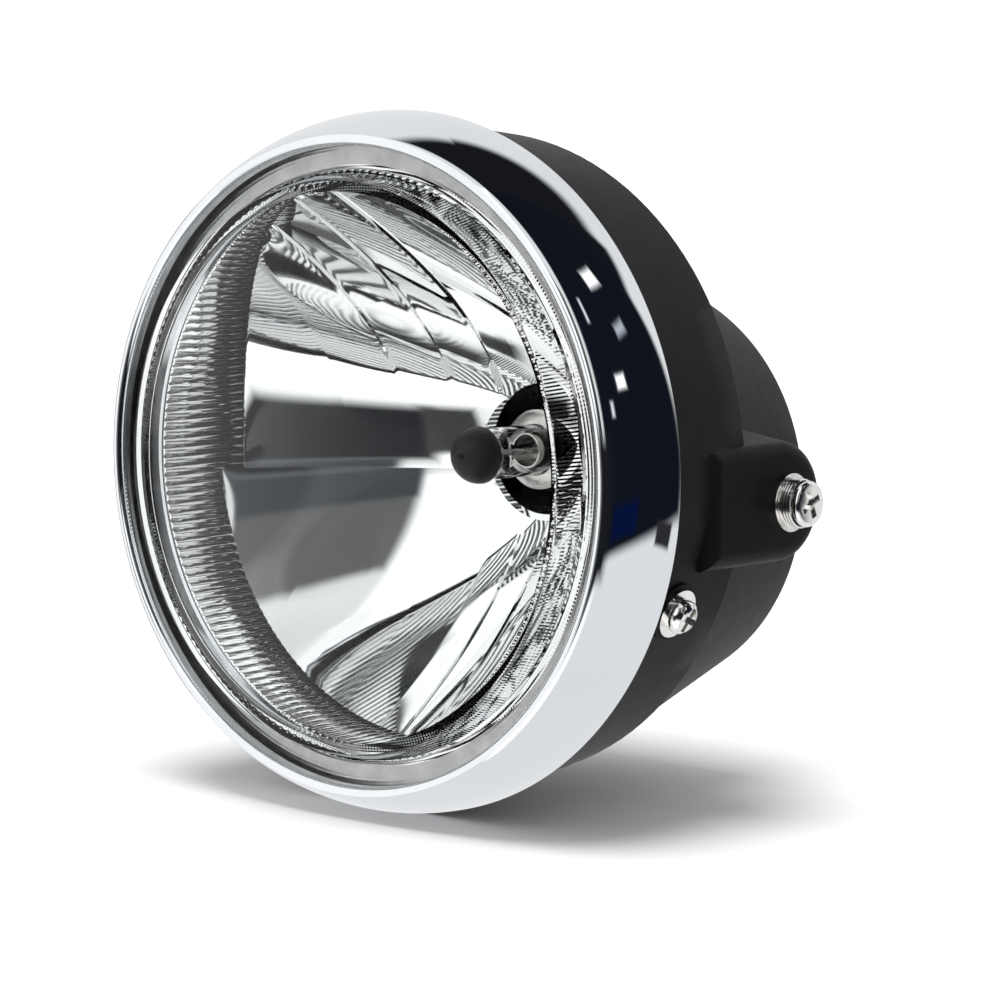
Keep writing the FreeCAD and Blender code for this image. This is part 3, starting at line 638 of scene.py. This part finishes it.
def make_mirror():
    """Mirror bowl: columns, flutes, flange, and the neck and collar that hold the bulb."""
    wall = FLUTE_RADIUS + MIRROR_WALL
    flange = turned("mirror_flange", [
        (FLUTE_RADIUS, FLANGE_FRONT), (FLANGE_RADIUS, FLANGE_FRONT),
        (FLANGE_RADIUS, FLANGE_FRONT + FLANGE_THICKNESS), (wall, FLANGE_FRONT + FLANGE_THICKNESS),
        (FLUTE_RADIUS, FLANGE_FRONT)], steps=360)
    front = dish_depth(0, NECK_RADIUS) + MIRROR_WALL / 2
    neck = turned("mirror_neck", [
        (NECK_RADIUS, front), (NECK_RADIUS, NECK_FLOOR), (NECK_HOLE, NECK_FLOOR), (NECK_HOLE, SEAT_DEPTH),
        (SEAT_RADIUS, SEAT_DEPTH), (SEAT_RADIUS, COLLAR_BACK), (COLLAR_RADIUS, COLLAR_BACK),
        (COLLAR_RADIUS, front), (NECK_RADIUS, front)], steps=160)
    smooth(flange)
    smooth(neck)
    piece = joined("mirror_bowl", [make_dish(), make_flutes(), flange, neck])
    fit(piece, "reflector", MIRROR)


# Bulb

def make_bulb():
    """Black ball tip with its nib, and a smooth copy of the clear tube behind it."""
    nib_front = depth_of(tip_low.y)
    root = math.degrees(math.asin(NIB_RADIUS / TIP_RADIUS))
    outline = arc((0, nib_front + NIB_RADIUS), NIB_RADIUS, -90, 0, count=6)
    outline += arc((0, TIP_DEPTH), TIP_RADIUS, root - 90, 0, count=24)
    outline += arc((0, TIP_DEPTH), TIP_RADIUS - TIP_COAT, 0, -90, count=16)
    tip = turned("bulb_tip_cap", outline, steps=96)
    smooth(tip, angle=40)
    fit(tip, "bulb_tip", BULB_BLACK)
    envelope = copy_of("bulb_glass", "bulb_envelope")
    fit(envelope, "bulb_glass", BULB_GLASS)


# Housing and fixings

def mirrored(piece, name):
    """Copy of a piece, with its own mesh, on the lamp's other side."""
    only(piece)
    bpy.ops.object.duplicate()
    copy = bpy.context.object
    copy.name = name
    copy.data.name = name
    copy.scale.x = -1
    bpy.ops.object.transform_apply(location=False, rotation=False, scale=True)
    bpy.ops.object.mode_set(mode="EDIT")
    bpy.ops.mesh.select_all(action="SELECT")
    bpy.ops.mesh.normals_make_consistent(inside=False)
    bpy.ops.object.mode_set(mode="OBJECT")
    return copy


def make_tilt_collar():
    """Collar ringed by ridges."""
    valley = TILT_COLLAR_RADIUS - TILT_RIDGE_HEIGHT
    pitch = (TILT_COLLAR_END - TILT_COLLAR_START) / TILT_RIDGES
    outline = [(TILT_HOLE, TILT_COLLAR_START)]
    for ridge in range(TILT_RIDGES):
        start = TILT_COLLAR_START + ridge * pitch
        outline.append((valley, start))
        outline += [(TILT_COLLAR_RADIUS, start + pitch * share) for share in TILT_RIDGE_FLAT]
    outline += [(valley, TILT_COLLAR_END), (TILT_HOLE, TILT_COLLAR_END), outline[0]]
    piece = turned("tilt_collar_left_made", outline, 96, TILT_AXIS, ACROSS, UP)
    smooth(piece, angle=25)
    return piece


def make_tilt_screw():
    """Screw with a toothed rim round the back of its head and a cross recess."""
    back, top, rim = TILT_COLLAR_END, TILT_HEAD_TOP, TILT_HEAD_RADIUS
    crown = rim - TILT_HEAD_INSET
    teeth_end = back + TILT_TOOTH_LENGTH
    corner = (crown - TILT_HEAD_ROUND, top - TILT_HEAD_ROUND)
    outline = [(0, TILT_SHANK_START), (TILT_SHANK_RADIUS, TILT_SHANK_START), (TILT_SHANK_RADIUS, back)]
    outline += [(rim, back), (rim, teeth_end), (crown, teeth_end + TILT_TOOTH_SLOPE)]
    outline += arc(corner, TILT_HEAD_ROUND, 0, 90, count=6)
    outline.append((0, top))
    piece = turned("tilt_screw_left_made", outline, 2 * TILT_TEETH, TILT_AXIS, ACROSS, UP)

    def between_teeth(point):
        place = round(math.atan2(point.z, point.y) / math.tau * 2 * TILT_TEETH)
        return place % 2 == 1 and math.hypot(point.y, point.z) > (crown + rim) / 2 * MM

    pick_vertices(piece, between_teeth)
    share = 1 - TILT_TOOTH_HEIGHT / rim
    bpy.ops.transform.resize(value=(1, share, share), center_override=TILT_AXIS)
    bpy.ops.object.mode_set(mode="OBJECT")
    for turn in (RECESS_TURN, RECESS_TURN + 90):
        nothing_selected()
        bpy.ops.mesh.primitive_cube_add(
            size=1, location=ACROSS * top * MM, rotation=(math.radians(turn), 0, 0),
            scale=(2 * RECESS_DEPTH * MM, RECESS_WIDTH * MM, RECESS_LENGTH * MM))
        cutter = bpy.context.object
        applied(piece, "BOOLEAN", object=cutter, operation="DIFFERENCE", solver="EXACT")
        bpy.data.objects.remove(cutter)
    smooth(piece, angle=25)
    return piece


def make_tilt_fixings():
    """Tilt collar and screw of both sides."""
    for kind, piece in (("tilt_collar", make_tilt_collar()), ("tilt_screw", make_tilt_screw())):
        far = mirrored(piece, kind + "_right_made")
        fit(piece, kind + "_left", ZINC)
        fit(far, kind + "_right", ZINC)


def make_housing():
    """Moulded bowl: a copy of its solid, shaded smooth."""
    piece = copy_of("rear_housing", "housing_bowl", angle=50)
    fit(piece, "rear_housing", HOUSING_PLASTIC)


make_bezel()
make_lens()
make_mirror()
make_bulb()
make_housing()
make_tilt_fixings()

SMOOTHED = {
    "bulb_base": ("bulb_metal", BULB_METAL),
    "bulb_shield": ("bulb_metal", BULB_METAL),
    "bulb_boot": ("rubber", RUBBER),
    "wiring_grommet": ("rubber", RUBBER),
    "tilt_washer_left": ("zinc", ZINC),
    "tilt_washer_right": ("zinc", ZINC),
    "bezel_washer_left": ("zinc", ZINC),
    "bezel_washer_right": ("zinc", ZINC),
    "bezel_screw_left": ("zinc", ZINC),
    "bezel_screw_right": ("zinc", ZINC),
}
for node, (slot, finish) in SMOOTHED.items():
    fit(copy_of(node, node + "_made", angle=50), node, finish)

PLAIN = {
    "lens_seal": SEAL_SILVER,
    "unit_clip_1": SPRING_STEEL,
    "unit_clip_2": SPRING_STEEL,
    "unit_clip_3": SPRING_STEEL,
    "unit_clip_4": SPRING_STEEL,
    "bulb_post_left": BULB_METAL,
    "bulb_post_right": BULB_METAL,
    "bulb_main_filament": TUNGSTEN,
    "bulb_dip_filament": TUNGSTEN,
    "bulb_insulator": BULB_CERAMIC,
    "bulb_terminal_left": BRASS,
    "bulb_terminal_right": BRASS,
    "bulb_terminal_top": BRASS,
    "bulb_spring": SPRING_STEEL,
    "tilt_insert_left": BRASS,
    "tilt_insert_right": BRASS,
    "bezel_strap_left": SPRING_STEEL,
    "bezel_strap_right": SPRING_STEEL,
    "bezel_nut_left": ZINC,
    "bezel_nut_right": ZINC,
}
for node, finish in PLAIN.items():
    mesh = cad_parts[node].data
    mesh.materials.clear()
    mesh.materials.append(finish)


# Floor, light and camera

# Lengths are in metres and angles in degrees. The lens and its sensor are in millimetres.
CAMERA_AZIMUTH = 41.71
CAMERA_ELEVATION = 5.44
CAMERA_ROLL = 0.49
CAMERA_DISTANCE = 0.900
CAMERA_LENS = 126.38
CAMERA_SENSOR = 36
CAMERA_CLIP = 0.01
AIM_RIGHT = 0.02547
AIM_UP = -0.00955
FLOOR_SIZE = 30


def make_camera():
    """Camera at the photo's angle."""
    azimuth, elevation = math.radians(CAMERA_AZIMUTH), math.radians(CAMERA_ELEVATION)
    roll = math.radians(CAMERA_ROLL)
    back = Vector((math.sin(azimuth) * math.cos(elevation), -math.cos(azimuth) * math.cos(elevation),
                   math.sin(elevation)))
    right = Vector((math.cos(azimuth), math.sin(azimuth), 0))
    up = back.cross(right)
    right, up = (right * math.cos(roll) + up * math.sin(roll), up * math.cos(roll) - right * math.sin(roll))
    middle = Vector((0, bezel_high.y, LAMP.z))
    place = middle + back * CAMERA_DISTANCE
    aim = middle + right * AIM_RIGHT + up * AIM_UP
    look = (place - aim).normalized()
    side = up.cross(look).normalized()
    top = look.cross(side)
    data = bpy.data.cameras.new("camera")
    data.lens = CAMERA_LENS
    data.sensor_width = CAMERA_SENSOR
    data.clip_start = CAMERA_CLIP
    camera = bpy.data.objects.new("camera", data)
    bpy.context.scene.collection.objects.link(camera)
    camera.matrix_world = Matrix((
        (side.x, top.x, look.x, place.x),
        (side.y, top.y, look.y, place.y),
        (side.z, top.z, look.z, place.z),
        (0, 0, 0, 1)))
    bpy.context.scene.camera = camera


def make_floor():
    """Wide pale floor under the bezel; the studio paints its reflections in its place."""
    nothing_selected()
    bpy.ops.mesh.primitive_plane_add(size=FLOOR_SIZE, location=(0, 0, CAD_BOX[0].z))
    floor = bpy.context.object
    floor.name = "floor"
    floor.data.materials.append(dull("pale_floor", (0.885, 0.885, 0.885), (0.90, 0.90, 0.90), 0.7, 0.8, 6))
    floor.visible_glossy = False
    floor.visible_transmission = False


# What the chrome and the mirror see, as headings from the camera's own (right is above 0) and heights in
# degrees: a white studio, with a dim room behind the camera and small lamps in it. The slant is how much
# the height rises for each degree of heading.
WHITE_WALL = (0.88, 0.885, 0.89)
ROOM = (
    # name, headings, heights, slant, softness, colour
    ("bright_side", (-128, -46), (-45, 65), 0.0, 16, (1.15, 1.15, 1.15)),
    ("bright_floor", (-60, 33), (-100, -34), 0.0, 8, (1.35, 1.35, 1.35)),
    ("bright_wall", (-52, -14), (4, 100), 0.0, 6, (1.3, 1.3, 1.3)),
    ("far_left_shade", (-130, -117), (-24, 16), 0.0, 4, (0.03, 0.03, 0.034)),
    ("left_shade", (-57, -45), (-20, 16), 0.0, 4, (0.03, 0.03, 0.034)),
    ("dim_wall", (34, 101), (-32, 130), 0.2, 5, (0.006, 0.008, 0.014)),
    ("dim_corner", (96, 116), (-8, 130), 0.45, 6, (0.008, 0.009, 0.014)),
    ("dim_ceiling", (110, 200), (38, 130), 0.1, 8, (0.010, 0.011, 0.015)),
    ("ceiling_end", (-200, -150), (58, 130), 0.0, 8, (0.010, 0.011, 0.015)),
    ("dim_middle", (-24, 40), (-30, 9), 0.0, 8, (0.012, 0.013, 0.016)),
    ("grey_screen", (-12, 26), (9, 50), 0.0, 5, (0.13, 0.13, 0.13)),
    ("grey_shelf", (-42, -20), (-31, 3), 0.0, 6, (0.05, 0.05, 0.052)),
    ("dark_screen", (-12, 26), (7, 21), 0.0, 4, (0.05, 0.055, 0.065)),
    ("blue_cloth", (42, 61), (-24, -15), 0.12, 4, (0.002, 0.007, 0.045)),
    ("dark_strip", (124, 131), (-22, 14), 0.0, 3, (0.04, 0.042, 0.045)),
    ("low_strip", (146, 160), (24, 29), 0.0, 3, (0.03, 0.032, 0.035)),
    ("dark_post", (80, 95), (-19, -13), 0.0, 2, (0.03, 0.03, 0.035)),
    ("lamp_row", (66, 79), (57, 61), -0.1, 4, (2.0, 2.0, 2.0)),
    ("dim_row", (68, 78), (35, 38), 0.0, 3, (0.5, 0.55, 0.6)),
    ("low_lamp", (53, 60), (22.5, 25.5), 0.0, 3, (2.2, 2.2, 2.2)),
    ("near_lamp", (44, 46), (15, 19), 0.0, 2, (0.9, 0.95, 1.0)),
    ("high_lamp", (45.5, 47.5), (42, 49), 0.0, 2, (0.9, 0.95, 1.0)),
)

# Strengths of the light, the width of the soft light in radians, and how far it leans.
DOME_LIGHT = 0.7
BACKDROP = 1.2
SOFT_LIGHT = 2.7
SOFT_ANGLE = 0.6
SOFT_LEFT = 0.1
SOFT_NEAR = 0.2


def worked(tree, operation, first, second=0):
    """Result of one sum on one or two numbers, each a socket or a plain value."""
    node = tree.nodes.new("ShaderNodeMath")
    node.operation = operation
    for socket, value in zip(node.inputs, (first, second)):
        if isinstance(value, (int, float)):
            socket.default_value = value
        else:
            tree.links.new(value, socket)
    return node.outputs["Value"]


def lean(tree, direction, way):
    """How far a direction leans one way."""
    node = tree.nodes.new("ShaderNodeVectorMath")
    node.operation = "DOT_PRODUCT"
    node.inputs[1].default_value = way
    tree.links.new(direction, node.inputs[0])
    return node.outputs["Value"]


def window_share(tree, place, low, high, soft):
    """Share that is 1 inside a window of (heading, level) and falls off softly at its edges."""
    middle = [(first + last) / 2 for first, last in zip(low, high)]
    half = [(last - first) / 2 for first, last in zip(low, high)]
    for operation, value in (("SUBTRACT", middle), ("ABSOLUTE", None), ("SUBTRACT", half)):
        node = tree.nodes.new("ShaderNodeVectorMath")
        node.operation = operation
        if value:
            node.inputs[1].default_value = (*value, 0)
        tree.links.new(place, node.inputs[0])
        place = node.outputs["Vector"]
    parts = tree.nodes.new("ShaderNodeSeparateXYZ")
    tree.links.new(place, parts.inputs["Vector"])
    span = tree.nodes.new("ShaderNodeMapRange")
    span.interpolation_type = "SMOOTHSTEP"
    span.inputs["From Min"].default_value = soft / 2
    span.inputs["From Max"].default_value = -soft / 2
    outside = worked(tree, "MAXIMUM", parts.outputs["X"], parts.outputs["Y"])
    tree.links.new(outside, span.inputs["Value"])
    return span.outputs["Result"]


def make_world():
    """Even white light, and the room that chrome and mirror reflect."""
    world = bpy.data.worlds.new("studio")
    bpy.context.scene.world = world
    world.use_nodes = True
    tree = world.node_tree
    tree.nodes.clear()
    direction = tree.nodes.new("ShaderNodeTexCoord").outputs["Generated"]
    turn = math.radians(CAMERA_AZIMUTH)
    ahead = lean(tree, direction, (math.sin(turn), -math.cos(turn), 0))
    aside = lean(tree, direction, (math.cos(turn), math.sin(turn), 0))
    heading = worked(tree, "DEGREES", worked(tree, "ARCTAN2", aside, ahead))
    height = worked(tree, "DEGREES", worked(tree, "ARCSINE", lean(tree, direction, UP)))
    colour = None
    for name, headings, heights, slant, soft, paint in ROOM:
        level = height
        if slant:
            level = worked(tree, "SUBTRACT", height, worked(tree, "MULTIPLY", heading, slant))
        place = tree.nodes.new("ShaderNodeCombineXYZ")
        tree.links.new(heading, place.inputs["X"])
        tree.links.new(level, place.inputs["Y"])
        low, high = zip(headings, heights)
        share = window_share(tree, place.outputs["Vector"], low, high, soft)
        mix = tree.nodes.new("ShaderNodeMix")
        mix.name = name
        mix.data_type = "RGBA"
        tree.links.new(share, mix.inputs["Factor"])
        mix.inputs["A"].default_value = (*WHITE_WALL, 1)
        if colour:
            tree.links.new(colour, mix.inputs["A"])
        mix.inputs["B"].default_value = (*paint, 1)
        colour = mix.outputs["Result"]
    room = tree.nodes.new("ShaderNodeBackground")
    tree.links.new(colour, room.inputs["Color"])
    even = tree.nodes.new("ShaderNodeBackground")
    even.inputs["Color"].default_value = (1, 1, 1, 1)
    path = tree.nodes.new("ShaderNodeLightPath")
    lift = worked(tree, "MULTIPLY", path.outputs["Is Camera Ray"], BACKDROP - DOME_LIGHT)
    tree.links.new(worked(tree, "ADD", lift, DOME_LIGHT), even.inputs["Strength"])
    plain = worked(tree, "MAXIMUM", path.outputs["Is Camera Ray"], path.outputs["Is Diffuse Ray"])
    mix = tree.nodes.new("ShaderNodeMixShader")
    tree.links.new(plain, mix.inputs["Fac"])
    tree.links.new(room.outputs["Background"], mix.inputs[1])
    tree.links.new(even.outputs["Background"], mix.inputs[2])
    output = tree.nodes.new("ShaderNodeOutputWorld")
    tree.links.new(mix.outputs["Shader"], output.inputs["Surface"])


def make_light():
    """Wide soft light from above, a little to the camera's side and left."""
    turn = math.radians(CAMERA_AZIMUTH)
    left = Vector((-math.cos(turn), -math.sin(turn), 0))
    near = Vector((math.sin(turn), -math.cos(turn), 0))
    data = bpy.data.lights.new("soft_light", "SUN")
    data.energy = SOFT_LIGHT
    data.angle = SOFT_ANGLE
    light = bpy.data.objects.new("soft_light", data)
    bpy.context.scene.collection.objects.link(light)
    light.rotation_euler = (UP + left * SOFT_LEFT + near * SOFT_NEAR).to_track_quat("Z", "Y").to_euler()
    light.visible_glossy = False
    light.visible_transmission = False


make_camera()
make_floor()
make_world()
make_light()
bpy.context.scene.view_settings.view_transform = "Standard"
